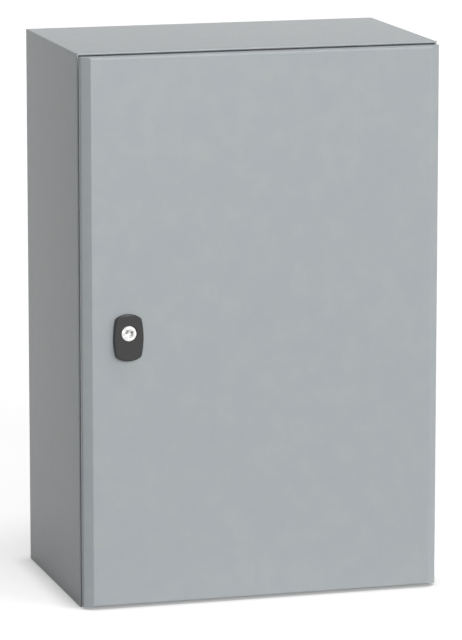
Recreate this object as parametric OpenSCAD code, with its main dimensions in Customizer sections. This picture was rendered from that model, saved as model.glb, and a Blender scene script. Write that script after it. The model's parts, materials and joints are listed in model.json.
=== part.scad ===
// Steel wall enclosure: a folded and welded body, a bevelled door on two concealed hinges,
// a quarter-turn lock, a mounting plate, a gland plate and earth studs.
// Millimetres. X runs to the right and Z up. The wall is the plane y = 0 and the door faces -Y.
// The origin is the centre of the four wall fixing holes, on the rear face of the body.

/* [Body] */
// Width of the body
body_w = 400; // [300:10:800]
// Height of the body
body_h = 600; // [400:10:1200]
// Depth of the body, without the door
body_d = 232; // [210:1:400]
// Thickness of the body's sheet
sheet = 1.2; // [1:0.1:1.5]
// Inside radius of every fold in the sheet
fold_r = 1.5; // [1:0.25:2]
// Radius ground on the four welded corners
weld_r = 1.2; // [0.6:0.1:1.6]
// Distance of the wall fixing holes from the body's sides, top and bottom
wall_hole_in = 30; // [24:1:40]
// Diameter of the wall fixing holes
wall_hole_d = 8.5; // [6.5:0.5:10.5]

/* [Rain channel] */
// Clear width of the channel between the hem and the seal lip
channel_w = 21.5; // [21:0.5:25]
// Depth of the channel floor behind the body's front edge
channel_depth = 10; // [9:0.5:14]
// Distance that the seal lip stands in front of the body's front edge
lip_proud = 8; // [6:0.5:9]

/* [Door] */
// Thickness of the door's sheet
door_sheet = 1.5; // [1.2:0.1:2]
// Distance of the door's front face from the body's front edge
door_proud = 18; // [17:0.5:22]
// Gap between the body's front edge and the door's return
door_gap = 2.5; // [2:0.25:3]
// Distance that each side of the door is set in from the body's side
door_in_x = 1; // [0.5:0.25:1.5]
// Clearance of the door's top and bottom from the hem that they swing past
door_clear = 0.4; // [0.3:0.1:1.5]
// Width of the bevel along each side of the door
bevel_w = 10.5; // [9:0.5:11]
// Depth of the bevel along each side of the door
bevel_d = 6.5; // [5.5:0.5:7]
// Width of the flange folded in behind the door's edges
door_flange = 8; // [6:0.5:9]
// Width of the foam seal on the door
seal_w = 8; // [6:0.5:9]
// Gap left between the foam seal and the lip it closes on
seal_gap = 0.3; // [0.2:0.1:0.6]

/* [Door rails] */
// Distance of each rail's middle from the body's side
rail_in = 92; // [90:1:120]
// Width of a rail's raised channel
rail_w = 20; // [16:1:24]
// Height of a rail's raised channel
rail_d = 10; // [8:0.5:14]
// Width of a rail's welding flanges
rail_flange = 8; // [6:0.5:10]
// Thickness of a rail's sheet
rail_t = 1.2; // [1:0.1:1.5]
// Distance of a rail's ends from the door's top and bottom
rail_end = 60; // [40:5:120]
// Diameter of a rail's holes
rail_hole_d = 4.5; // [3.5:0.5:6.5]
// Distance between a rail's holes
rail_pitch = 25; // [15:5:50]

/* [Hinges] */
// Distance of the hinge axis from the body's side
hinge_in = 13; // [12.5:0.25:13.5]
// Distance of the hinge axis behind the door's front face
hinge_back = 10; // [9.5:0.25:11]
// Distance of each hinge from the body's top or bottom
hinge_end = 85; // [60:5:150]
// Diameter of the hinge pin
pin_d = 5; // [4:0.5:5.5]
// Radial running clearance of the pin in the fixed eye
pin_clear = 0.05; // [0.02:0.01:0.1]
// Wall of the eyes round the pin
eye_wall = 2.5; // [2:0.25:2.75]
// Length of the fixed eye
eye_l = 24; // [18:2:40]
// Length of each ear of the door leaf
ear_l = 5; // [4:0.5:8]
// Thickness of the thrust washers between eye and ears
thrust_t = 0.8; // [0.5:0.1:1.2]
// Thickness of the bracket's arm
arm_t = 4; // [3:0.5:4]
// Thickness of the bracket's base
bracket_t = 3; // [2.5:0.5:3.5]
// Length of the bracket's base
bracket_l = 60; // [56:2:80]
// Thickness of the rubber pad under the bracket
pad_t = 1; // [0.5:0.25:1]
// Diameter of the hinge screws
hinge_screw_d = 5; // [4:0.5:5]
// Distance between the two screws of a bracket
hinge_screw_gap = 42; // [38:1:44]
// Thickness of the door leaf's base
leaf_t = 2; // [1.5:0.25:2.25]

/* [Lock] */
// Distance of the lock's axis from the body's side
lock_in = 50; // [48:1:56]
// Height of the lock's axis above the middle of the body
lock_up = 1.5; // [-100:0.5:100]
// Width of the escutcheon
escutcheon_w = 32.6; // [30:0.2:36]
// Height of the escutcheon
escutcheon_h = 50.7; // [46:0.1:60]
// Thickness of the escutcheon
escutcheon_t = 5.5; // [4.5:0.5:8]
// Distance of the escutcheon's middle below the lock's axis
escutcheon_drop = 4.8; // [0:0.2:6]
// Swell of the escutcheon's long sides
side_swell = 2.4; // [1:0.2:3]
// Swell of the escutcheon's top and bottom
end_swell = 4.6; // [2:0.2:6]
// Radius of the escutcheon's corners
escutcheon_r = 4; // [1:0.5:4]
// Width of the chamfer round the escutcheon's front
escutcheon_chamfer = 1.2; // [0.5:0.1:2]
// Diameter of the threaded barrel behind the escutcheon
barrel_d = 20; // [18:0.5:22]
// Width of the barrel across its two flats
barrel_flats = 18; // [16:0.5:18]
// Length of the barrel behind the door's front face
barrel_l = 21; // [18:0.5:22]
// Diameter of the insert's head
insert_head_d = 16.2; // [15:0.2:17]
// Thickness of the insert's head
insert_head_t = 3; // [2:0.5:4]
// Diameter of the insert's shaft
insert_d = 12; // [11:0.5:13]
// Diameter of the key socket's round opening
socket_d = 9.2; // [8:0.2:9.6]
// Depth of the key socket
socket_l = 9; // [6:0.5:12]
// Diameter of the pin in the middle of the key socket
socket_pin_d = 4; // [3:0.5:5]
// Width of the two key bit slots and of the position notch
bit_w = 2.4; // [1.6:0.2:3]
// Direction of the position notch, anticlockwise from the right
notch_angle = 17; // [0:1:45]
// Width of the insert's square end across its flats
square_w = 8; // [7:0.5:8]
// Distance of the cam's tip from the lock's axis
cam_l = 40; // [36:0.5:44]
// Width of the cam's hub
cam_w = 20; // [18:0.5:24]
// Width of the cam's tip
cam_tip_w = 14; // [10:0.5:16]
// Thickness of the cam
cam_t = 3; // [2:0.5:4]
// Gap left between the cam's tip and the channel floor it hooks behind
cam_gap = 0.6; // [0.3:0.1:1]
// Thickness of the lock's nut
lock_nut_t = 6; // [4:0.5:8]
// Width of the lock's nut across its flats
lock_nut_w = 27; // [26:0.5:28]

/* [Mounting plate] */
// Distance of the plate's edges from the body's sides, top and bottom
plate_in = 30; // [28:1:40]
// Thickness of the plate
plate_t = 2; // [1.5:0.25:3]
// Depth of the stiffening flanges along the plate's sides
plate_flange = 8; // [6:0.5:10]
// Clear distance between the rear wall and the plate
plate_off = 15; // [14:0.5:40]
// Size of the cut corners that leave the wall fixing holes free
plate_cut = 32; // [28:1:40]
// Distance of the plate's fixings from the body's sides
plate_fix_x = 50; // [48:1:70]
// Distance of the plate's fixings from the body's top and bottom
plate_fix_z = 72; // [70:1:120]
// Diameter of the plate's studs
plate_stud_d = 8; // [6:1:8]
// Diameter of the collar that carries the plate
collar_d = 14; // [12:1:16]

/* [Gland plate] */
// Width of the gland opening
gland_w = 245; // [150:5:250]
// Depth of the gland opening, from front to back
gland_d = 128; // [100:1:130]
// Distance of the gland opening's middle from the rear face
gland_back = 105; // [100:1:110]
// Width of the gland plate's rim round the opening
gland_rim = 15; // [14:0.5:20]
// Thickness of the gland plate
gland_t = 2; // [1.5:0.25:3]
// Thickness of the gland gasket
gland_seal_t = 2; // [1:0.25:3]
// Diameter of the gland plate's studs
gland_stud_d = 5; // [4:1:6]

/* [Earthing] */
// Diameter of the earth studs
earth_d = 6; // [5:1:8]
// Length of the earth studs
earth_l = 16; // [14:1:22]
// Height of the earth studs above the body's bottom
earth_up = 70; // [60:1:100]
// Distance of the body's earth stud from the rear face
earth_back = 140; // [60:5:170]
// Distance of the door's earth stud from the body's side
earth_in = 55; // [45:1:58]

/* [Hidden] */
$fn = 48;

// Cutters run this far past the faces they cut
over = 1;
// Threaded pieces, the lock's insert and the hinge screws are modelled with this radial gap
thread_gap = 0.05;
// Radial slack of the holes that screws, studs and the lock's barrel pass through
screw_slack = 0.25;
stud_slack = 0.5;
// Corner radii of cut-outs and of flat blanks
cut_r = 4;
blank_r = 3;
// Proportions of nuts and bolt heads to their thread
hex_ratio = 1.625;
nut_ratio = 0.8;
head_ratio = 0.65;
tail_ratio = 0.5;

// Body: the hem is two sheets thick, and the channel floor and lip follow it inwards.
// The section of each wall takes in a strip of the rear sheet as wide as the skirt.
hem_t = 2 * sheet;
lip_u = hem_t + channel_w;
skirt = 2 * lip_u;
body_front = -body_d;
floor_front = body_front + channel_depth;
floor_back = floor_front + sheet;
lip_front = body_front - lip_proud;
lip_mid_x = body_w / 2 - lip_u - sheet / 2;
lip_mid_z = body_h / 2 - lip_u - sheet / 2;

// Door
door_front = body_front - door_proud;
door_inner = door_front + door_sheet;
door_rear = body_front - door_gap;
door_x = body_w / 2 - door_in_x;
door_z = body_h / 2 - hem_t - door_clear;
seal_h = (lip_front - seal_gap) - door_inner;
seal_corner_r = 0.75 * seal_w;
seal_round = 0.3 * seal_w;
rail_x = body_w / 2 - rail_in;
rail_l = 2 * (door_z - rail_end);

// Hinges
hinge_x = body_w / 2 - hinge_in;
hinge_y = door_front + hinge_back;
hinge_z = body_h / 2 - hinge_end;
eye_r = pin_d / 2 + eye_wall;
thrust_gap = 0.1;
press_gap = 0.02;
ear_z = eye_l / 2 + thrust_t + 2 * thrust_gap;
bracket_x0 = body_w / 2 - lip_u + fold_r;
bracket_x1 = body_w / 2 - hem_t - fold_r;
bracket_mid_x = (bracket_x0 + bracket_x1) / 2;
pad_front = floor_front - pad_t;
bracket_front = pad_front - bracket_t;
leaf_room = 0.6;
leaf_x0 = lip_mid_x + seal_w / 2 + leaf_room;
leaf_x1 = hinge_x + leaf_room;
notch_room = 2;
notch_half = eye_l / 2 + notch_room;
pin_head_t = 2;
pin_head_r = 0.8 * pin_d;
pin_tip = 1;
clip_t = 0.8;

// Lock
lock_x = -(body_w / 2 - lock_in);
lock_z = lock_up;
head_recess_w = 0.8;
head_recess_r = insert_head_d / 2 + head_recess_w;
head_sunk = 0.1;
bit_wall = 0.6;
swell_steps = 10;
lock_seal_t = 1;
lock_seal_in = 2.5;
barrel_back = door_front + barrel_l;
shoulder_l = 0.5;
cam_root_front = barrel_back + shoulder_l;
cam_root_back = cam_root_front + cam_t;
cam_tip_front = floor_back + cam_gap;
cam_tip_back = cam_tip_front + cam_t;
cam_bend_l = 10;
cam_corner = 3;
cam_hole_gap = 0.1;
cam_screw_d = 6;
cam_screw_l = 9;
cam_washer_t = 1.2;

// Mounting plate
plate_x = body_w / 2 - plate_in;
plate_z = body_h / 2 - plate_in;
plate_back = -(sheet + plate_off);
plate_front = plate_back - plate_t;
plate_fixings = corners(body_w / 2 - plate_fix_x, body_h / 2 - plate_fix_z);
plate_washer_t = 1.6;
plate_side = 12;

// Gland plate
gland_floor = -body_h / 2 + sheet;
gland_x = gland_w / 2 + gland_rim;
gland_y = gland_d / 2 + gland_rim;
gland_fix_x = gland_w / 2 + gland_rim / 2;
gland_fix_y = gland_d / 2 + gland_rim / 2;
gland_fixings = concat(corners(gland_fix_x - gland_rim, gland_fix_y), [[0, gland_fix_y], [0, -gland_fix_y]]);

// Earthing
earth_z = -body_h / 2 + earth_up;
earth_washer_t = 1.2;
earth_foot_t = 2;
earth_foot_w = 1.5;

paint = "lightgray";
zinc = "silver";
steel = "gray";
plastic = "#1c1c1e";
rubber = "#2b2b2b";
copper = "peru";

// ---- Outlines ----

function unit(v) = v / norm(v);

// The four corner points of a rectangle, from its half width and half height
function corners(x, y) = [[x, y], [-x, y], [-x, -y], [x, -y]];

// Points of the arc of radius r that rounds the corner p between its neighbours a and b
function corner_arc(a, p, b, r) =
    let (u = unit(a - p), v = unit(b - p), half = acos(u * v) / 2)
    let (c = p + unit(u + v) * r / sin(half))
    let (start = p + u * r / tan(half) - c, end = p + v * r / tan(half) - c)
    let (sweep = 180 - 2 * half, steps = ceil(sweep / 12))
    let (side = sign(start[0] * end[1] - start[1] * end[0]))
    let (a0 = atan2(start[1], start[0]))
    [for (i = [0:steps]) c + r * [cos(a0 + side * sweep * i / steps), sin(a0 + side * sweep * i / steps)]];

// A closed outline with each corner rounded by its own radius
function rounded(pts, radii) =
    let (n = len(pts))
    [for (i = [0:n - 1]) each radii[i] > 0
        ? corner_arc(pts[(i + n - 1) % n], pts[i], pts[(i + 1) % n], radii[i])
        : [pts[i]]];

// The same radius at every corner
function rounded_all(pts, r) = rounded(pts, [for (p = pts) r]);

// A convex outline moved inwards by d
function inset(pts, d) =
    let (n = len(pts))
    [for (i = [0:n - 1])
        let (u = unit(pts[(i + n - 1) % n] - pts[i]), v = unit(pts[(i + 1) % n] - pts[i]))
        pts[i] + unit(u + v) * d / sin(acos(u * v) / 2)];

// Points of an arc from a to b that swells to the right of its chord, without its last point
function swollen(a, b, swell, steps) =
    let (chord = norm(b - a), r = (chord * chord / 4 + swell * swell) / (2 * swell))
    let (out = [(b - a)[1], -(b - a)[0]] / chord, c = (a + b) / 2 + out * (swell - r))
    let (half = asin(chord / 2 / r), a0 = atan2(out[1], out[0]) - half)
    [for (i = [0:steps - 1]) c + r * [cos(a0 + 2 * half * i / steps), sin(a0 + 2 * half * i / steps)]];

// ---- Placing ----

// Extrudes an outline in x and y along z, between two heights
module along_z(z0, z1) {
    translate([0, 0, z0]) linear_extrude(z1 - z0) children();
}

// Extrudes an outline in y and z along x, from -x to x
module along_x(x) {
    rotate([90, 0, 90]) linear_extrude(2 * x, center = true) children();
}

// Extrudes an outline in x and z along y, from y0 at the back to y1 in front
module along_y(y0, y1) {
    translate([0, y0, 0]) rotate([90, 0, 0]) linear_extrude(y0 - y1) children();
}

// Stands its children at a point with their own z pointing out of the door
module facing_out(x, y, z) {
    translate([x, y, z]) rotate([90, 0, 0]) children();
}

// Sweeps a profile round a rectangle with rounded corners. x of the profile points outwards.
module ring_sweep(x, y, r) {
    for (side = [-1, 1]) {
        translate([0, side * y, 0]) rotate(side > 0 ? 0 : 180) along_x(x - r) children();
        translate([side * x, 0, 0]) rotate(side > 0 ? -90 : 90) along_x(y - r) children();
    }
    for (i = [0:3]) {
        c = corners(x - r, y - r)[i];
        translate([c[0], c[1], 0]) rotate(90 * i) rotate_extrude(angle = 90) translate([r, 0]) children();
    }
}

// ---- Fasteners, standing on z = 0 ----

// Length of thread that takes a nut and shows a little of its end
function thread_l(d) = d * (nut_ratio + tail_ratio);

module hex_nut(d, flats, t) {
    difference() {
        cylinder(h = t, d = flats / cos(30), $fn = 6);
        translate([0, 0, -over]) cylinder(h = t + 2 * over, r = d / 2 + thread_gap);
    }
}

// A nut of the usual proportions for its thread
module plain_nut(d) {
    hex_nut(d, d * hex_ratio, d * nut_ratio);
}

module washer(d, outside, t) {
    difference() {
        cylinder(h = t, d = outside);
        translate([0, 0, -over]) cylinder(h = t + 2 * over, r = d / 2 + screw_slack);
    }
}

// A hexagon-headed screw: its shank stands up from z = 0 and its head hangs below
module hex_screw(d, l) {
    cylinder(h = l, d = d);
    translate([0, 0, -d * head_ratio]) cylinder(h = d * head_ratio, d = d * hex_ratio / cos(30), $fn = 6);
}

// ---- Body ----

// Section of one wall: u runs in from the wall's outside and v back from the body's front edge
function wall_section() = rounded(
    [
        [0, 0], [hem_t, 0], [hem_t, channel_depth], [lip_u, channel_depth],
        [lip_u, -lip_proud], [lip_u + sheet, -lip_proud], [lip_u + sheet, channel_depth + sheet],
        [sheet, channel_depth + sheet], [sheet, body_d - sheet], [skirt, body_d - sheet],
        [skirt, body_d], [0, body_d]
    ],
    [sheet, sheet, fold_r, fold_r, 0, 0, fold_r + sheet, 0, fold_r, 0, 0, fold_r + sheet]
);

// One upright wall at +X, mitred at both ends
module side_wall() {
    reach = skirt + over;
    intersection() {
        along_z(-body_h / 2, body_h / 2)
            polygon([for (p = wall_section()) [body_w / 2 - p[0], body_front + p[1]]]);
        along_y(over, lip_front - over)
            polygon([
                [body_w / 2 + over, body_h / 2 + over], [body_w / 2 - reach, body_h / 2 - reach],
                [body_w / 2 - reach, -body_h / 2 + reach], [body_w / 2 + over, -body_h / 2 - over]
            ]);
    }
}

// One level wall at +Z, mitred at both ends
module top_wall() {
    reach = skirt + over;
    intersection() {
        along_x(body_w / 2)
            polygon([for (p = wall_section()) [body_front + p[1], body_h / 2 - p[0]]]);
        along_y(over, lip_front - over)
            polygon([
                [body_w / 2 + over, body_h / 2 + over], [-body_w / 2 - over, body_h / 2 + over],
                [-body_w / 2 + reach, body_h / 2 - reach], [body_w / 2 - reach, body_h / 2 - reach]
            ]);
    }
}

module body_shell() {
    color(paint) difference() {
        intersection() {
            union() {
                for (side = [0, 1]) {
                    mirror([side, 0, 0]) side_wall();
                    mirror([0, 0, side]) top_wall();
                }
                along_y(0, -sheet) polygon(corners(body_w / 2 - skirt + over, body_h / 2 - skirt + over));
            }
            along_y(over, lip_front - over) polygon(rounded_all(corners(body_w / 2, body_h / 2), weld_r));
        }
        for (p = corners(body_w / 2 - wall_hole_in, body_h / 2 - wall_hole_in))
            facing_out(p[0], over, p[1]) cylinder(h = sheet + 2 * over, d = wall_hole_d);
        translate([0, -gland_back, gland_floor]) along_z(-sheet - over, over) gland_window();
        for (z = [-1, 1], end = [-1, 1])
            facing_out(bracket_mid_x, floor_back + over, z * hinge_z + end * hinge_screw_gap / 2)
                cylinder(h = sheet + 2 * over, r = hinge_screw_d / 2 + screw_slack);
    }
}

// ---- Mounting plate ----

// Section of the flange folded back along the plate's right side
function plate_fold() = rounded(
    [
        [plate_x - plate_side, plate_front], [plate_x, plate_front], [plate_x, plate_back + plate_flange],
        [plate_x - plate_t, plate_back + plate_flange], [plate_x - plate_t, plate_back],
        [plate_x - plate_side, plate_back]
    ],
    [0, fold_r + plate_t, 0, 0, fold_r, 0]
);

module mounting_plate() {
    flat_x = plate_x - fold_r - plate_t;
    fold_z = plate_z - plate_cut;
    color(zinc) difference() {
        union() {
            along_y(plate_back, plate_front) polygon([
                [flat_x, fold_z + over], [plate_x - plate_cut, plate_z], [-plate_x + plate_cut, plate_z],
                [-flat_x, fold_z + over], [-flat_x, -fold_z - over], [-plate_x + plate_cut, -plate_z],
                [plate_x - plate_cut, -plate_z], [flat_x, -fold_z - over]
            ]);
            for (side = [0, 1]) mirror([side, 0, 0]) along_z(-fold_z, fold_z) polygon(plate_fold());
        }
        for (p = plate_fixings)
            facing_out(p[0], plate_back + over, p[1])
                cylinder(h = plate_t + 2 * over, r = plate_stud_d / 2 + stud_slack);
    }
}

module plate_studs() {
    color(steel) for (p = plate_fixings) facing_out(p[0], -sheet, p[1]) {
        cylinder(h = plate_off, d = collar_d);
        cylinder(h = plate_off + plate_t + plate_washer_t + thread_l(plate_stud_d), d = plate_stud_d);
    }
}

module plate_washers() {
    color(zinc) for (p = plate_fixings)
        facing_out(p[0], plate_front, p[1]) washer(plate_stud_d, 2 * plate_stud_d, plate_washer_t);
}

module plate_nuts() {
    color(zinc) for (p = plate_fixings)
        facing_out(p[0], plate_front - plate_washer_t, p[1]) plain_nut(plate_stud_d);
}

// ---- Gland plate ----

module gland_window() {
    polygon(rounded_all(corners(gland_w / 2, gland_d / 2), cut_r));
}

// Blank of the gland plate and of its gasket, with the stud holes
module gland_blank(t, slack) {
    difference() {
        along_z(0, t) polygon(rounded_all(corners(gland_x, gland_y), blank_r));
        for (p = gland_fixings)
            translate([p[0], p[1], -over]) cylinder(h = t + 2 * over, r = gland_stud_d / 2 + slack);
    }
}

module gland_gasket() {
    color(rubber) translate([0, -gland_back, gland_floor]) difference() {
        gland_blank(gland_seal_t, screw_slack);
        along_z(-over, gland_seal_t + over) gland_window();
    }
}

module gland_plate() {
    color(paint) translate([0, -gland_back, gland_floor + gland_seal_t]) gland_blank(gland_t, stud_slack);
}

module gland_studs() {
    l = gland_seal_t + gland_t + thread_l(gland_stud_d);
    color(steel) translate([0, -gland_back, gland_floor]) for (p = gland_fixings)
        translate([p[0], p[1], 0]) cylinder(h = l, d = gland_stud_d);
}

module gland_nuts() {
    color(zinc) translate([0, -gland_back, gland_floor + gland_seal_t + gland_t]) for (p = gland_fixings)
        translate([p[0], p[1], 0]) plain_nut(gland_stud_d);
}

// ---- Earthing ----

module earth_stud() {
    color(copper) {
        cylinder(h = earth_foot_t, r = earth_d / 2 + earth_foot_w);
        cylinder(h = earth_l, d = earth_d);
    }
}

module earth_nut() {
    color(copper) {
        translate([0, 0, earth_foot_t]) washer(earth_d, 2 * earth_d, earth_washer_t);
        translate([0, 0, earth_foot_t + earth_washer_t]) plain_nut(earth_d);
    }
}

module on_body_side() {
    translate([body_w / 2 - sheet, -earth_back, earth_z]) rotate([0, -90, 0]) children();
}

module on_door_inside() {
    translate([body_w / 2 - earth_in, door_inner, earth_z]) rotate([-90, 0, 0]) children();
}

module body_earth_stud() {
    on_body_side() earth_stud();
}

module body_earth_nut() {
    on_body_side() earth_nut();
}

module door_earth_stud() {
    on_door_inside() earth_stud();
}

module door_earth_nut() {
    on_door_inside() earth_nut();
}

// ---- Hinges ----

// Plan of the bracket's arm: it stands beside the lip and reaches forward and across to the eye
function arm_outline() =
    let (back = hinge_y + eye_r, front = back - arm_t, side = bracket_x0 + arm_t)
    rounded(
        [
            [bracket_x0, pad_front], [bracket_x0, front], [hinge_x, front],
            [hinge_x, back], [side, back], [side, pad_front]
        ],
        [0, arm_t / 2, 0, 0, 0, 0]
    );

// Outline of the bracket's base and of its pad
module bracket_base() {
    translate([bracket_mid_x, 0])
        polygon(rounded_all(corners((bracket_x1 - bracket_x0) / 2, bracket_l / 2), blank_r));
}

module hinge_bracket(z) {
    color(zinc) translate([0, 0, z]) difference() {
        union() {
            along_y(pad_front, bracket_front) bracket_base();
            along_z(-eye_l / 2, eye_l / 2) polygon(arm_outline());
            translate([hinge_x, hinge_y, -eye_l / 2]) cylinder(h = eye_l, r = eye_r);
        }
        translate([hinge_x, hinge_y, -eye_l]) cylinder(h = 2 * eye_l, r = pin_d / 2 + pin_clear);
        for (end = [-1, 1])
            facing_out(bracket_mid_x, pad_front + over, end * hinge_screw_gap / 2)
                cylinder(h = bracket_t + 2 * over, r = hinge_screw_d / 2 + thread_gap);
    }
}

module hinge_bracket_upper() {
    hinge_bracket(hinge_z);
}

module hinge_bracket_lower() {
    hinge_bracket(-hinge_z);
}

module hinge_pads() {
    color(rubber) for (side = [-1, 1]) translate([0, 0, side * hinge_z]) difference() {
        along_y(floor_front, pad_front) bracket_base();
        for (end = [-1, 1])
            facing_out(bracket_mid_x, floor_front + over, end * hinge_screw_gap / 2)
                cylinder(h = pad_t + 2 * over, r = hinge_screw_d / 2 + screw_slack);
    }
}

module hinge_screws() {
    color(steel) for (side = [-1, 1], end = [-1, 1])
        facing_out(bracket_mid_x, floor_back, side * hinge_z + end * hinge_screw_gap / 2)
            hex_screw(hinge_screw_d, sheet + pad_t + bracket_t);
}

// The door's leaf: a base on the inside of the door's front with an ear above and below the eye
module hinge_leaf(z) {
    color(zinc) translate([0, 0, z]) difference() {
        union() {
            along_z(-ear_z - ear_l, ear_z + ear_l)
                polygon([[leaf_x0, door_inner], [leaf_x1, door_inner],
                    [leaf_x1, door_inner + leaf_t], [leaf_x0, door_inner + leaf_t]]);
            for (side = [0, 1]) mirror([0, 0, side]) translate([0, 0, ear_z]) {
                translate([hinge_x, hinge_y, 0]) cylinder(h = ear_l, r = eye_r);
                linear_extrude(ear_l) polygon([[hinge_x - eye_r, door_inner], [leaf_x1, door_inner],
                    [leaf_x1, hinge_y], [hinge_x - eye_r, hinge_y]]);
            }
        }
        translate([hinge_x, hinge_y, -ear_z - ear_l - over])
            cylinder(h = 2 * (ear_z + ear_l + over), r = pin_d / 2 + press_gap);
    }
}

module hinge_leaf_upper() {
    hinge_leaf(hinge_z);
}

module hinge_leaf_lower() {
    hinge_leaf(-hinge_z);
}

// The pin rests on the upper ear by its head, and its clip holds it under the lower ear
module hinge_pin(z) {
    ear_end = ear_z + ear_l;
    color(steel) translate([hinge_x, hinge_y, z]) {
        translate([0, 0, -ear_end - clip_t - pin_tip]) cylinder(h = 2 * ear_end + clip_t + pin_tip, d = pin_d);
        translate([0, 0, ear_end]) cylinder(h = pin_head_t, r = pin_head_r);
    }
}

module hinge_pin_upper() {
    hinge_pin(hinge_z);
}

module hinge_pin_lower() {
    hinge_pin(-hinge_z);
}

module thrust_washers() {
    color("white") for (z = [-hinge_z, hinge_z], side = [-1, 1])
        translate([hinge_x, hinge_y, z + side * (eye_l / 2 + thrust_gap + thrust_t / 2) - thrust_t / 2])
            difference() {
                cylinder(h = thrust_t, r = eye_r - 2 * thrust_gap);
                translate([0, 0, -over]) cylinder(h = thrust_t + 2 * over, r = pin_d / 2 + thrust_gap);
            }
}

module hinge_clips() {
    color(steel) for (z = [-hinge_z, hinge_z])
        translate([hinge_x, hinge_y, z - ear_z - ear_l - clip_t - thrust_gap]) difference() {
            cylinder(h = clip_t, r = pin_head_r);
            translate([0, 0, -over]) cylinder(h = clip_t + 2 * over, r = pin_d / 2 + press_gap);
            translate([0, -pin_d / 4, -over]) cube([2 * pin_head_r, pin_d / 2, clip_t + 2 * over]);
        }
}

// ---- Door ----

// Plan of the door: the front is bevelled down to the returns at both sides
function door_plan() = [
    [-door_x, door_rear], [-door_x, door_front + bevel_d], [-door_x + bevel_w, door_front],
    [door_x - bevel_w, door_front], [door_x, door_front + bevel_d], [door_x, door_rear]
];

// Side view of the door, in y and z
function door_side() = [[door_rear, -door_z], [door_front, -door_z], [door_front, door_z], [door_rear, door_z]];

// The door's outer form moved inwards by d, with corners of radius r
module door_form(d, r) {
    intersection() {
        along_z(-door_z + d, door_z - d) polygon(rounded_all(inset(door_plan(), d), r));
        along_x(door_x - d) polygon(rounded_all(inset(door_side(), d), r));
    }
}

module door_panel() {
    window_x = door_x - door_flange;
    window_z = door_z - door_flange;
    color(paint) difference() {
        door_form(0, fold_r + door_sheet);
        door_form(door_sheet, fold_r);
        along_y(door_rear + over, door_rear - door_sheet - over) polygon(corners(window_x, window_z));
        for (side = [-1, 1])
            translate([window_x - over, door_front + bevel_d + over, side * hinge_z - notch_half]) cube([door_flange + 2 * over, door_rear - door_front, 2 * notch_half]);
        facing_out(lock_x, door_inner + over, lock_z) flatted_rod(door_sheet + 2 * over, screw_slack);
    }
}

// Domed foam bead: x outwards from its middle, y away from the door
function seal_bead() = rounded(
    [[-seal_w / 2, 0], [seal_w / 2, 0], [seal_w / 2, seal_h], [-seal_w / 2, seal_h]],
    [0, 0, seal_round, seal_round]
);

module door_seal() {
    color(rubber) translate([0, door_inner, 0]) rotate([-90, 0, 0])
        ring_sweep(lip_mid_x, lip_mid_z, seal_corner_r) polygon(seal_bead());
}

// Hat section of a rail, in x and y from the door's inner face
function rail_section() = rounded(
    [
        [-rail_w / 2 - rail_flange, 0], [-rail_w / 2 + rail_t, 0], [-rail_w / 2 + rail_t, rail_d - rail_t],
        [rail_w / 2 - rail_t, rail_d - rail_t], [rail_w / 2 - rail_t, 0], [rail_w / 2 + rail_flange, 0],
        [rail_w / 2 + rail_flange, rail_t], [rail_w / 2, rail_t], [rail_w / 2, rail_d], [-rail_w / 2, rail_d],
        [-rail_w / 2, rail_t], [-rail_w / 2 - rail_flange, rail_t]
    ],
    [0, 2 * rail_t, rail_t, rail_t, 2 * rail_t, 0, 0, rail_t, 2 * rail_t, 2 * rail_t, rail_t, 0]
);

module door_rail(x) {
    holes = floor((rail_l / 2 - rail_hole_d) / rail_pitch);
    color(zinc) difference() {
        translate([x, door_inner, 0]) along_z(-rail_l / 2, rail_l / 2) polygon(rail_section());
        for (i = [-holes:holes])
            facing_out(x, door_inner + rail_d + over, i * rail_pitch)
                cylinder(h = rail_t + 2 * over, d = rail_hole_d);
    }
}

module door_rail_left() {
    door_rail(-rail_x);
}

module door_rail_right() {
    door_rail(rail_x);
}

// ---- Lock ----

// A rod with two flats, or the hole for it when it is given slack
module flatted_rod(l, slack) {
    intersection() {
        cylinder(h = l, r = barrel_d / 2 + slack);
        translate([-barrel_flats / 2 - slack, -barrel_d, 0]) cube([barrel_flats + 2 * slack, 2 * barrel_d, l]);
    }
}

// Barrel-shaped outline of the escutcheon: four swollen sides between rounded corners
function escutcheon_outline() =
    let (c = corners(escutcheon_w / 2 - side_swell, escutcheon_h / 2 - end_swell))
    let (swells = [end_swell, side_swell])
    let (pts = [for (i = [0:3]) each swollen(c[i], c[(i + 1) % 4], swells[i % 2], swell_steps)])
    let (radii = [for (i = [0:len(pts) - 1]) i % swell_steps == 0 ? escutcheon_r : 0])
    rounded(pts, radii);

module lock_housing() {
    outline = escutcheon_outline();
    color(plastic) facing_out(lock_x, door_front, lock_z) difference() {
        union() {
            translate([0, -escutcheon_drop, 0]) hull() {
                linear_extrude(escutcheon_t - escutcheon_chamfer) polygon(outline);
                linear_extrude(escutcheon_t) polygon(inset(outline, escutcheon_chamfer));
            }
            translate([0, 0, -barrel_l]) flatted_rod(barrel_l + over, 0);
        }
        difference() {
            translate([0, -escutcheon_drop, 0])
                along_z(-over, lock_seal_t) polygon(inset(outline, lock_seal_in));
            along_z(-2 * over, 2 * lock_seal_t) circle(d = barrel_d);
        }
        along_z(-barrel_l - over, escutcheon_t + over) circle(r = insert_d / 2 + thread_gap);
        along_z(escutcheon_t - insert_head_t, escutcheon_t + over) circle(r = head_recess_r);
    }
}

module lock_gasket() {
    color(rubber) facing_out(lock_x, door_front, lock_z) difference() {
        translate([0, -escutcheon_drop, 0]) along_z(0, lock_seal_t)
            polygon(inset(escutcheon_outline(), lock_seal_in + screw_slack));
        along_z(-over, lock_seal_t + over) circle(r = barrel_d / 2 + screw_slack);
    }
}

module lock_nut() {
    color(zinc) facing_out(lock_x, door_inner + lock_nut_t, lock_z) hex_nut(barrel_d, lock_nut_w, lock_nut_t);
}

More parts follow.
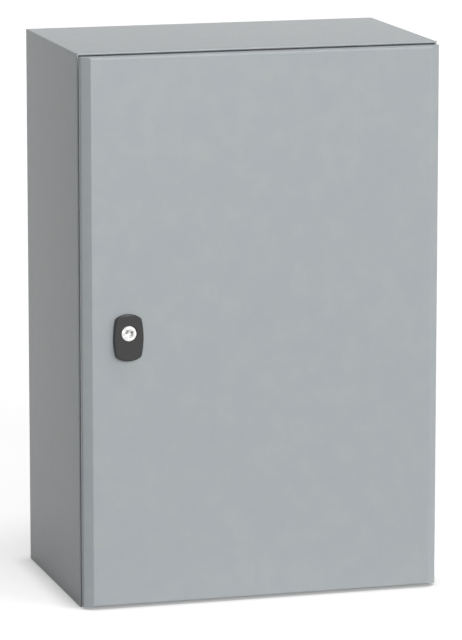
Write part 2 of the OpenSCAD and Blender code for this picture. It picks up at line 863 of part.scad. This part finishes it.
// The insert turns in the housing. The key turns it by the two bit slots of its round socket.
module lock_insert() {
    face = escutcheon_t - head_sunk;
    head_back = escutcheon_t - insert_head_t + thread_gap;
    square_back = -barrel_l - shoulder_l - cam_t + cam_hole_gap;
    bit_r = insert_d / 2 - bit_wall;
    color(zinc) facing_out(lock_x, door_front, lock_z) difference() {
        union() {
            along_z(head_back, face) circle(d = insert_head_d);
            along_z(-barrel_l, head_back + over) circle(d = insert_d);
            along_z(square_back, -barrel_l + over) square(square_w, center = true);
        }
        rotate(notch_angle) translate([0, 0, face]) {
            difference() {
                union() {
                    along_z(-socket_l, over) circle(d = socket_d);
                    along_z(-socket_l, over) square([2 * bit_r, bit_w], center = true);
                }
                along_z(-socket_l - over, -head_sunk) circle(d = socket_pin_d);
            }
            translate([0, -bit_w / 2, -insert_head_t / 2]) cube([insert_head_d, bit_w, insert_head_t]);
        }
        along_z(square_back - over, square_back + cam_screw_l) circle(r = cam_screw_d / 2 + thread_gap);
    }
}

// Side view of the cam: y along it from the lock's axis, z out of the door
function cam_profile() =
    let (root = cam_w / 2 + 1, bend = root + cam_bend_l, end = cam_l + over)
    let (front = door_front - cam_root_front, tip = door_front - cam_tip_front)
    rounded(
        [
            [-cam_w, front], [root, front], [bend, tip], [end, tip],
            [end, tip - cam_t], [bend - 1, tip - cam_t], [root - 1, front - cam_t], [-cam_w, front - cam_t]
        ],
        [0, 1, 3, 0, 0, 1, 3, 0]
    );

// The cam hangs down when the lock is open, and hooks behind the channel floor when it is turned to the left
module lock_cam() {
    tip = cam_tip_w / 2;
    shoulder = cam_l - cam_corner;
    point = tip - cam_corner;
    color(zinc) facing_out(lock_x, door_front, lock_z) difference() {
        intersection() {
            rotate([90, 0, -90]) linear_extrude(2 * cam_w, center = true) polygon(cam_profile());
            along_z(-2 * barrel_l, 0) {
                circle(d = cam_w);
                polygon([[-cam_w / 2, 0], [-tip, -cam_w], [-tip, -shoulder], [-point, -cam_l],
                    [point, -cam_l], [tip, -shoulder], [tip, -cam_w], [cam_w / 2, 0]]);
            }
        }
        along_z(-2 * barrel_l, 0) square(square_w + 2 * cam_hole_gap, center = true);
    }
}

module cam_washer() {
    color(zinc) facing_out(lock_x, cam_root_back + cam_washer_t, lock_z)
        washer(cam_screw_d, 2 * square_w, cam_washer_t);
}

module cam_screw() {
    color(steel) facing_out(lock_x, cam_root_back + cam_washer_t, lock_z) hex_screw(cam_screw_d, cam_screw_l);
}

body_shell();
mounting_plate();
plate_studs();
plate_washers();
plate_nuts();
gland_plate();
gland_gasket();
gland_studs();
gland_nuts();
body_earth_stud();
body_earth_nut();
hinge_bracket_upper();
hinge_bracket_lower();
hinge_pads();
hinge_screws();
door_panel();
door_seal();
door_rail_left();
door_rail_right();
hinge_leaf_upper();
hinge_leaf_lower();
hinge_pin_upper();
hinge_pin_lower();
thrust_washers();
hinge_clips();
lock_housing();
lock_gasket();
lock_nut();
door_earth_stud();
door_earth_nut();
lock_insert();
lock_cam();
cam_washer();
cam_screw();
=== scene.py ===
# %% [markdown]
# # A steel wall enclosure
# This lesson dresses a sheet-steel wall box, from its exact solids to a finished picture. The solids give every size
# and every joint. Here they get rounded edges, paint, plating and rubber.

import json
import math
import bmesh
import bpy
from mathutils import Matrix, Vector


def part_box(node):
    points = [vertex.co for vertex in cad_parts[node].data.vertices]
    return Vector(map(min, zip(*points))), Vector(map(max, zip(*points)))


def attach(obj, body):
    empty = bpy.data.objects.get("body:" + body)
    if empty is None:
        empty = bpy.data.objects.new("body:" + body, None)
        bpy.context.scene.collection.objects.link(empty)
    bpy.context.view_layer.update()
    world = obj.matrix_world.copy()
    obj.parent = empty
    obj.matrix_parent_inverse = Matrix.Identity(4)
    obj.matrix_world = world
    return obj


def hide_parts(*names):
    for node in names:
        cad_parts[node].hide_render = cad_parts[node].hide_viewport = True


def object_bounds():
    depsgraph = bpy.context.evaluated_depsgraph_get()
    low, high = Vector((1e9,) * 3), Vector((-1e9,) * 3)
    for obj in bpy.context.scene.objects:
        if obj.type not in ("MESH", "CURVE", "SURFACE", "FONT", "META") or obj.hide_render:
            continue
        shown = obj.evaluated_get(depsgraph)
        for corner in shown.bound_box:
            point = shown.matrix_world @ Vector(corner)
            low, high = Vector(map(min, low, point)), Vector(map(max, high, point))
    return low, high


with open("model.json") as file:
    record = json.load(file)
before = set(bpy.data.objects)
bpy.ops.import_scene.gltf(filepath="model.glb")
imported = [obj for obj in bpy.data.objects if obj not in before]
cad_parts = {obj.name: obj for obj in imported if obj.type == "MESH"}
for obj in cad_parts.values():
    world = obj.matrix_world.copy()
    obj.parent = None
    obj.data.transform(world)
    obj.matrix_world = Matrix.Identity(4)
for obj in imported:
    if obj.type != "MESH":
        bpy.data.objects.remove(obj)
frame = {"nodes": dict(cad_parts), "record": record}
cad_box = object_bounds()
nodes = frame["nodes"]
body_of_node = {n: b for b, ns in frame["record"]["behaviour"]["bodies"].items() for n in ns}
slot_of_node = {row["node"]: row["material_slot"] for row in frame["record"]["subparts"]}
print("solids:", len(nodes), "box in metres:", [tuple(round(v, 4) for v in c) for c in cad_box])

# %% [markdown]
# ## The camera
# A catalogue picture of such a box is taken from far away with a long lens, so that the uprights stay upright. The
# camera stands to the left of the box and a little above it, and looks at a point near its middle.

# %% Place the camera
lens_data = bpy.data.cameras.new("long_lens")
lens_data.lens = 246.08
lens_data.sensor_width = 36
lens_data.clip_end = 100
camera = bpy.data.objects.new("camera", lens_data)
bpy.context.collection.objects.link(camera)
camera.location = (-1.30042, -4.67896, 0.86935)
looked_at = Vector((0.035588, 0, -0.038895))
camera.rotation_mode = "QUATERNION"
camera.rotation_quaternion = (looked_at - camera.location).to_track_quat("-Z", "Y")
bpy.context.scene.camera = camera
bpy.context.scene.view_settings.view_transform = "Standard"
print("camera distance:", round((looked_at - camera.location).length, 3), "m")

# %% [markdown]
# ## The studio
# The floor is pale and plain. Seen by the camera, or in a reflection, the room and the floor are plain white, and the
# floor keeps the soft shadow where the box stands on it. The room itself lights nothing: three broad lamps do. One
# hangs high up, one stands in front of the door, and one on the right. None stands on the left, so the left side of
# the box is the darkest.

# %% Lay the floor
floor_half_size = 40
floor_z = cad_box[0].z
floor_mesh = bpy.data.meshes.new("floor")
sheet = bmesh.new()
on_floor = Matrix.Translation((0, 0, floor_z))
bmesh.ops.create_grid(sheet, x_segments=1, y_segments=1, size=floor_half_size, matrix=on_floor)
sheet.to_mesh(floor_mesh)
sheet.free()
floor = bpy.data.objects.new("floor", floor_mesh)
bpy.context.collection.objects.link(floor)
print("floor at z:", round(floor_z, 4), "m")


# %% Tell looks from light
def shown_to_eye(tree):
    """1 where a camera, a reflection or clear glass looks, and 0 for the light that lands on the box."""
    rays = tree.nodes.new("ShaderNodeLightPath")
    found = rays.outputs["Is Camera Ray"]
    for kind in ["Is Glossy Ray", "Is Transmission Ray"]:
        either = tree.nodes.new("ShaderNodeMath")
        either.operation = "MAXIMUM"
        tree.links.new(found, either.inputs[0])
        tree.links.new(rays.outputs[kind], either.inputs[1])
        found = either.outputs[0]
    return found


# %% [markdown]
# The floor's paint glows just enough to look white. The glow fades where the box is near, within the shadow reach, and
# that leaves the contact shadow.

# %% Paint the floor
shadow_reach = 0.03
glow_near_box, glow_in_open = 0.3, 0.72
floor_paint = bpy.data.materials.new("white_floor")
floor_paint.use_nodes = True
floor_tree = floor_paint.node_tree
floor_shader = floor_tree.nodes["Principled BSDF"]
floor_shader.inputs["Base Color"].default_value = (0.5, 0.5, 0.5, 1)
floor_shader.inputs["Roughness"].default_value = 0.9
floor_shader.inputs["Specular IOR Level"].default_value = 0.0
floor_shader.inputs["Emission Color"].default_value = (1, 1, 1, 1)
nearness = floor_tree.nodes.new("ShaderNodeAmbientOcclusion")
nearness.inputs["Distance"].default_value = shadow_reach
glow = floor_tree.nodes.new("ShaderNodeMapRange")
glow.inputs["From Min"].default_value = 0.3
glow.inputs["From Max"].default_value = 0.95
glow.inputs["To Min"].default_value = glow_near_box
glow.inputs["To Max"].default_value = glow_in_open
floor_tree.links.new(nearness.outputs["AO"], glow.inputs["Value"])
shown_glow = floor_tree.nodes.new("ShaderNodeMath")
shown_glow.operation = "MULTIPLY"
floor_tree.links.new(glow.outputs["Result"], shown_glow.inputs[0])
floor_tree.links.new(shown_to_eye(floor_tree), shown_glow.inputs[1])
floor_tree.links.new(shown_glow.outputs[0], floor_shader.inputs["Emission Strength"])
floor_mesh.materials.append(floor_paint)

# %% Whiten the room
room = bpy.data.worlds.new("room")
bpy.context.scene.world = room
room.use_nodes = True
wires = room.node_tree
wires.nodes.clear()
white = wires.nodes.new("ShaderNodeBackground")
white.inputs["Color"].default_value = (1, 1, 1, 1)
wires.links.new(shown_to_eye(wires), white.inputs["Strength"])
out = wires.nodes.new("ShaderNodeOutputWorld")
wires.links.new(white.outputs[0], out.inputs["Surface"])


# %% Hang the lamps
def sun(name, comes_from, strength, spread_deg):
    """A broad far lamp, which shines from the direction comes_from."""
    data = bpy.data.lights.new(name, "SUN")
    data.energy = strength
    data.angle = math.radians(spread_deg)
    lamp = bpy.data.objects.new(name, data)
    bpy.context.collection.objects.link(lamp)
    lamp.rotation_mode = "QUATERNION"
    lamp.rotation_quaternion = Vector(comes_from).to_track_quat("Z", "Y")
    return lamp


lamps = [
    sun("top_lamp", (0.15, -0.19, 0.97), 1.14, 20),
    sun("front_lamp", (0, -0.94, 0.33), 1.89, 40),
    sun("right_lamp", (0.78, -0.55, 0.3), 1.23, 50),
]
print("lamps:", [lamp.name for lamp in lamps])

# %% [markdown]
# ## Finishes
# Every finish is made of noise in the piece's own coordinates, in metres. A scale of 1000 is thus a grain of about
# a millimetre. Colours are written as the eye sees them, in linear light.


# %% Start a finish
def start_finish(name, colour, roughness, metallic=0.0):
    """A material with its shader set, and its wiring."""
    finish = bpy.data.materials.new(name)
    finish.use_nodes = True
    shader = finish.node_tree.nodes["Principled BSDF"]
    shader.inputs["Base Color"].default_value = (*colour, 1)
    shader.inputs["Roughness"].default_value = roughness
    shader.inputs["Metallic"].default_value = metallic
    return finish, shader, finish.node_tree


def noise(tree, scale, detail):
    """Noise in the piece's own coordinates."""
    place = tree.nodes.new("ShaderNodeTexCoord")
    grain = tree.nodes.new("ShaderNodeTexNoise")
    grain.inputs["Scale"].default_value = scale
    grain.inputs["Detail"].default_value = detail
    tree.links.new(place.outputs["Object"], grain.inputs["Vector"])
    return grain.outputs["Fac"]


def between(tree, fac, low, high, lo_value, hi_value):
    """Maps a pattern from low..high to lo_value..hi_value."""
    span = tree.nodes.new("ShaderNodeMapRange")
    span.inputs["From Min"].default_value = low
    span.inputs["From Max"].default_value = high
    span.inputs["To Min"].default_value = lo_value
    span.inputs["To Max"].default_value = hi_value
    tree.links.new(fac, span.inputs["Value"])
    return span.outputs["Result"]


def tint(tree, fac, dark, light):
    """Mixes two colours by a pattern."""
    mix = tree.nodes.new("ShaderNodeMix")
    mix.data_type = "RGBA"
    mix.inputs["A"].default_value = (*dark, 1)
    mix.inputs["B"].default_value = (*light, 1)
    tree.links.new(fac, mix.inputs["Factor"])
    return mix.outputs["Result"]


def relief(tree, shader, height, depth):
    """Bumps of the given depth in metres, laid over any earlier ones."""
    bump = tree.nodes.new("ShaderNodeBump")
    bump.inputs["Distance"].default_value = depth
    bump.inputs["Strength"].default_value = 1.0
    tree.links.new(height, bump.inputs["Height"])
    if shader.inputs["Normal"].is_linked:
        tree.links.new(shader.inputs["Normal"].links[0].from_socket, bump.inputs["Normal"])
    tree.links.new(bump.outputs["Normal"], shader.inputs["Normal"])


# %% [markdown]
# Powder coat is sprayed on dry and baked. It flows into a skin with a fine orange peel, and its colour clouds very
# slightly over a large panel.

# %% Powder coat
cloud_scale = 50
peel_scale, peel_depth = 420, 0.00009
speck_scale, speck_depth = 1500, 0.00002


def powder_coat(name, colour):
    finish, shader, tree = start_finish(name, colour, 0.38)
    clouds = between(tree, noise(tree, cloud_scale, 4), 0.34, 0.66, 0, 1)
    cool = [colour[0] * 0.965, colour[1] * 0.975, colour[2] * 0.99]
    warm = [colour[0] * 1.03, colour[1] * 1.022, colour[2] * 1.005]
    tree.links.new(tint(tree, clouds, cool, warm), shader.inputs["Base Color"])
    tree.links.new(between(tree, noise(tree, peel_scale, 2), 0.3, 0.7, 0.31, 0.45), shader.inputs["Roughness"])
    relief(tree, shader, noise(tree, peel_scale, 1), peel_depth)
    relief(tree, shader, noise(tree, speck_scale, 1), speck_depth)
    return finish


coat_colour = (0.363, 0.392, 0.406)
finishes = {"grey_powder_coat": powder_coat("grey_powder_coat", coat_colour)}
# Painted shade: a dark copy of the coat, three tenths as bright, for the shade in the corner seams.
painted_seam_shadow = powder_coat("painted_seam_shadow", [c * 0.3 for c in coat_colour])
print("coat colour:", coat_colour)

# %% [markdown]
# Galvanised sheet shows the crystals of its zinc, the spangle. Zinc plate is brighter and nearly without colour. Cast
# zinc is satin.

# %% Metals
wear_scale = 180
brush_scale, brush_depth = 1600, 0.00001


def metal(name, colour, roughness, spangle=None):
    finish, shader, tree = start_finish(name, colour, roughness, 1.0)
    if spangle:
        place = tree.nodes.new("ShaderNodeTexCoord")
        cells = tree.nodes.new("ShaderNodeTexVoronoi")
        cells.inputs["Scale"].default_value = spangle
        tree.links.new(place.outputs["Object"], cells.inputs["Vector"])
        split = tree.nodes.new("ShaderNodeSeparateColor")
        tree.links.new(cells.outputs["Color"], split.inputs["Color"])
        pattern = split.outputs["Red"]
    else:
        pattern = between(tree, noise(tree, wear_scale, 3), 0.35, 0.65, 0, 1)
    dark = [c * 0.86 for c in colour]
    light = [min(1, c * 1.08) for c in colour]
    tree.links.new(tint(tree, pattern, dark, light), shader.inputs["Base Color"])
    tree.links.new(between(tree, pattern, 0, 1, roughness * 0.85, roughness * 1.2), shader.inputs["Roughness"])
    relief(tree, shader, noise(tree, brush_scale, 2), brush_depth)
    return finish


finishes["galvanised_sheet"] = metal("galvanised_sheet", (0.56, 0.58, 0.59), 0.42, 140)
finishes["zinc_plated_steel"] = metal("zinc_plated_steel", (0.62, 0.62, 0.6), 0.3)
finishes["die_cast_zinc"] = metal("die_cast_zinc", (0.66, 0.66, 0.65), 0.34)
finishes["copper_plated_steel"] = metal("copper_plated_steel", (0.72, 0.4, 0.25), 0.32)
finishes["brass_nut"] = metal("brass_nut", (0.75, 0.6, 0.32), 0.3)


# %% Plastics and rubbers
def moulded(name, colour, roughness, grain_scale, grain_depth):
    finish, shader, tree = start_finish(name, colour, roughness)
    patch = between(tree, noise(tree, grain_scale / 3, 2), 0.3, 0.7, 0, 1)
    dark = [c * 0.85 for c in colour]
    light = [c * 1.2 for c in colour]
    tree.links.new(tint(tree, patch, dark, light), shader.inputs["Base Color"])
    tree.links.new(between(tree, patch, 0, 1, roughness * 0.9, roughness * 1.1), shader.inputs["Roughness"])
    relief(tree, shader, noise(tree, grain_scale, 1), grain_depth)
    return finish


finishes["black_plastic"] = moulded("black_plastic", (0.011, 0.011, 0.012), 0.42, 2600, 0.00002)
finishes["black_rubber"] = moulded("black_rubber", (0.02, 0.02, 0.02), 0.7, 1200, 0.00003)
finishes["seal_foam"] = moulded("seal_foam", (0.03, 0.03, 0.032), 0.62, 700, 0.0001)
finishes["white_nylon"] = moulded("white_nylon", (0.78, 0.78, 0.75), 0.4, 800, 0.00002)
print("finishes:", sorted(finishes))

# %% [markdown]
# ## Rounded sheet
# No edge of folded sheet is a knife edge. Each solid is copied, its loose triangles are joined, flat areas are made one
# face, and the copy gets a hair-fine rounded edge and smooth shading over its folds.

# %% Dress the solids
sharp_angle = math.radians(35)
flat_angle = math.radians(0.4)
weld_distance = 0.000005


def dress(node, edge):
    """A smooth copy of a solid with fine rounded edges, which stands for it."""
    piece_mesh = nodes[node].data.copy()
    shape = bmesh.new()
    shape.from_mesh(piece_mesh)
    bmesh.ops.remove_doubles(shape, verts=shape.verts, dist=weld_distance)
    bmesh.ops.dissolve_limit(shape, angle_limit=flat_angle, verts=shape.verts, edges=shape.edges)
    for face in shape.faces:
        face.smooth = True
    for crease in shape.edges:
        crease.smooth = len(crease.link_faces) == 2 and crease.calc_face_angle(0) < sharp_angle
    shape.to_mesh(piece_mesh)
    shape.free()
    if "custom_normal" in piece_mesh.attributes:
        piece_mesh.attributes.remove(piece_mesh.attributes["custom_normal"])
    piece = bpy.data.objects.new(node + "_dressed", piece_mesh)
    bpy.context.collection.objects.link(piece)
    round_off = piece.modifiers.new("rounded_edges", "BEVEL")
    round_off.width = edge
    round_off.segments = 2
    round_off.limit_method = "ANGLE"
    round_off.angle_limit = sharp_angle
    round_off.harden_normals = True
    piece_mesh.materials.clear()
    piece_mesh.materials.append(finishes[slot_of_node[node]])
    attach(piece, body_of_node[node])
    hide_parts(node)
    return piece


for node, solid in nodes.items():
    solid.data.materials.clear()
    solid.data.materials.append(finishes[slot_of_node[node]])

fine_edge = 0.00015
edge_of_slot = {"die_cast_zinc": 0.0004, "zinc_plated_steel": 0.00025, "black_plastic": 0.0002}
for node in nodes:
    piece = dress(node, edge_of_slot.get(slot_of_node[node], fine_edge))
    print(node, "faces:", len(piece.data.polygons))

# %% [markdown]
# ## Corner seams and their painted shade
# The four long corners are welded from the inside and ground round outside. What stays to be seen is a hair-fine line
# of shade along each corner seam, a little wider where the hems meet at the front. That shade is painted: the line is a
# thin bar in a dark copy of the coat, sunk in the rounded corner, and the short wider bar at the front stands out by
# 0.2 mm at most.

# %% Lay the painted seam shade
body_front_y = -0.232
corner_in = 0.00062
seam_end_in = 0.008
knot_in = 0.0009


def bar(shape, centre, size, turn):
    """A bar of the given size, turned about the box's depth."""
    place = Matrix.Translation(centre) @ Matrix.Rotation(turn, 4, "Y") @ Matrix.Diagonal((*size, 1))
    bmesh.ops.create_cube(shape, size=1, matrix=place)


shell_low, shell_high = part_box("body_shell")
shadow_bar_shape = bmesh.new()
for side in [-1, 1]:
    for level in [-1, 1]:
        corner_x = side * (shell_high[0] - corner_in)
        corner_z = level * (shell_high[2] - corner_in)
        lean = math.radians(45) * side * level
        bar(shadow_bar_shape, (corner_x, body_front_y / 2, corner_z), (0.0005, -body_front_y - seam_end_in, 0.0007), lean)
        bar(shadow_bar_shape, (corner_x, body_front_y + knot_in, corner_z), (0.001, 0.0016, 0.0013), lean)
seam_shadow_mesh = bpy.data.meshes.new("seam_shadow_bars")
shadow_bar_shape.to_mesh(seam_shadow_mesh)
shadow_bar_shape.free()
# The bars carry the painted shade of the seams.
seam_shadow_mesh.materials.append(painted_seam_shadow)
seam_shadow_bars = bpy.data.objects.new("seam_shadow_bars", seam_shadow_mesh)
bpy.context.collection.objects.link(seam_shadow_bars)
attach(seam_shadow_bars, "body")
print("seam bars:", len(seam_shadow_mesh.polygons) // 6)
